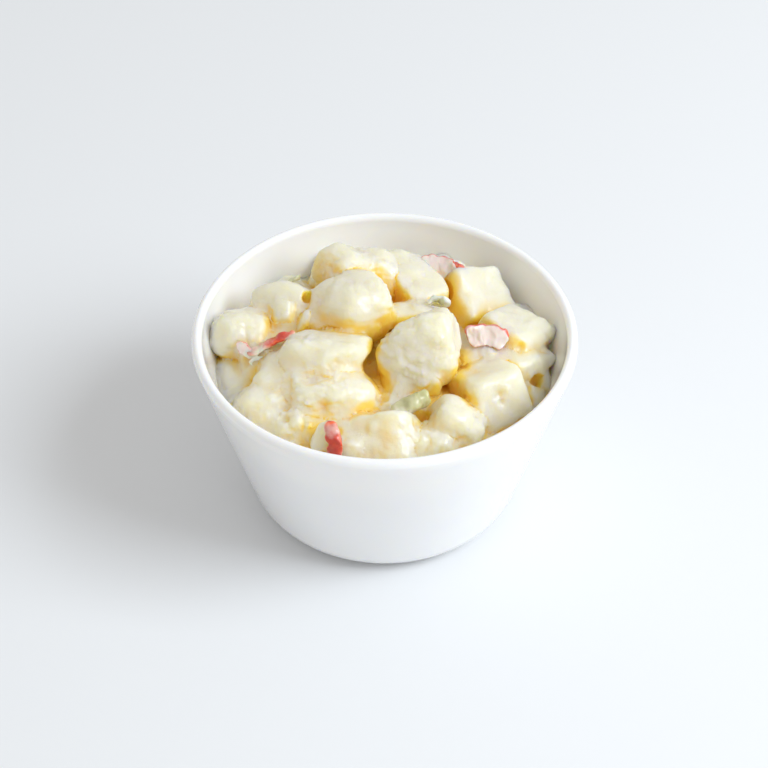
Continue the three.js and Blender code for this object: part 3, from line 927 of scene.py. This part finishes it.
class SALAD_OT_potato(bpy.types.Operator):
    """Build the potato pieces and the dressing that joins them"""

    bl_idname = "salad.potato"
    bl_label = "Potato in dressing"

    def execute(self, context):
        settings = context.scene.salad
        solids = [bare_mesh("dressing", *dressing_surface(settings.roughness))]
        for p in HEAP:
            cells = int(np.clip(settings.cells_per_mm * p.half.mean(), *PIECE_CELLS))
            points, quads = dressed(p, cells, settings.roughness)
            solids.append(bare_mesh(p.name, points, (quads,)))
        mesh = united(solids, "potato_in_dressing")
        mesh.shade_smooth()
        points = read(mesh.vertices, "co", 3) / MM
        hollow, bare = felt(points, read(mesh.vertices, "normal", 3))
        placed(mesh, made("potato_in_mayonnaise", potato), "potato_salad", hollow=hollow, bare=bare,
               wall=near_wall(points))
        return {"FINISHED"}


class SALAD_OT_vegetables(bpy.types.Operator):
    """Build the pepper strips and the celery pieces"""

    bl_idname = "salad.vegetables"
    bl_label = "Pepper and celery"

    def execute(self, context):
        strips_mesh("pepper_strips", PEPPER, made("red_pepper", pepper))
        strips_mesh("celery_pieces", CELERY, made("celery", celery))
        return {"FINISHED"}


class SALAD_OT_stage(bpy.types.Operator):
    """Set up the pale table top, the soft light and the camera"""

    bl_idname = "salad.stage"
    bl_label = "Stage"

    elevation: FloatProperty(name="Elevation", description="Camera's height over the horizon, degrees",
                             default=42.0)
    distance: FloatProperty(name="Distance", description="Camera's distance", default=0.75, unit="LENGTH")
    lens: FloatProperty(name="Lens", description="Focal length on a 36 mm sensor, mm", default=123.75)
    power: FloatProperty(name="Lamp power", description="Power of the window's light, W", default=11.9,
                         unit="POWER")

    def execute(self, context):
        scene = context.scene
        side = SHEET_HALF
        sheet = ((-side, -side, 0), (side, -side, 0), (side, side, 0), (-side, side, 0))
        mesh = bpy.data.meshes.new("table_top")
        mesh.from_pydata(sheet, [], [(0, 1, 2, 3)])
        mesh.materials.append(made("white_paper_sheet", tabletop))
        table = bpy.data.objects.new("table_top", mesh)
        scene.collection.objects.link(table)

        tilt = np.radians(self.elevation)
        back = Vector((0, -np.cos(tilt), np.sin(tilt)))
        camera = bpy.data.objects.new("camera", bpy.data.cameras.new("camera"))
        scene.collection.objects.link(camera)
        camera.location = CAMERA_AIM + back * self.distance
        camera.rotation_euler = (-back).to_track_quat("-Z", "Y").to_euler()
        camera.data.lens = self.lens
        camera.data.sensor_width = 36.0
        camera.data.clip_start = 0.05
        scene.camera = camera

        world = bpy.data.worlds.new("white_room")
        world.use_nodes = True
        room = world.node_tree.nodes["Background"].inputs
        room["Color"].default_value = ROOM_COLOUR
        room["Strength"].default_value = ROOM_STRENGTH
        scene.world = world

        high, across = np.radians(LAMP_ELEVATION), np.radians(LAMP_AZIMUTH)
        way = Vector((np.cos(high) * np.cos(across), np.cos(high) * np.sin(across), np.sin(high)))
        lamp = bpy.data.lights.new("window", "AREA")
        lamp.shape = "SQUARE"
        lamp.size = LAMP_SIZE
        lamp.energy = self.power
        lamp.color = LAMP_COLOUR
        window = bpy.data.objects.new("window", lamp)
        window.location = LAMP_AIM + way * LAMP_DISTANCE
        window.rotation_euler = (-way).to_track_quat("-Z", "Y").to_euler()
        scene.collection.objects.link(window)
        scene.view_settings.view_transform = "Standard"
        return {"FINISHED"}


class SALAD_PT_panel(bpy.types.Panel):
    """Lists the pieces in build order, then the settings"""

    bl_idname = "SALAD_PT_panel"
    bl_label = "Potato salad"
    bl_space_type = "VIEW_3D"
    bl_region_type = "UI"
    bl_category = "Potato salad"

    def draw(self, context):
        column = self.layout.column()
        for operator in OPERATORS:
            column.operator(operator.bl_idname)
        for setting in SaladSettings.__annotations__:
            column.prop(context.scene.salad, setting)


OPERATORS = (SALAD_OT_cup, SALAD_OT_potato, SALAD_OT_vegetables, SALAD_OT_stage)
CLASSES = (SaladSettings, *OPERATORS, SALAD_PT_panel)


def register():
    for item in CLASSES:
        bpy.utils.register_class(item)
    bpy.types.Scene.salad = PointerProperty(type=SaladSettings)


def unregister():
    del bpy.types.Scene.salad
    for item in reversed(CLASSES):
        bpy.utils.unregister_class(item)


def main():
    register()
    bpy.ops.salad.cup()
    bpy.ops.salad.potato()
    bpy.ops.salad.vegetables()
    bpy.ops.salad.stage()


if __name__ == "__main__":
    main()
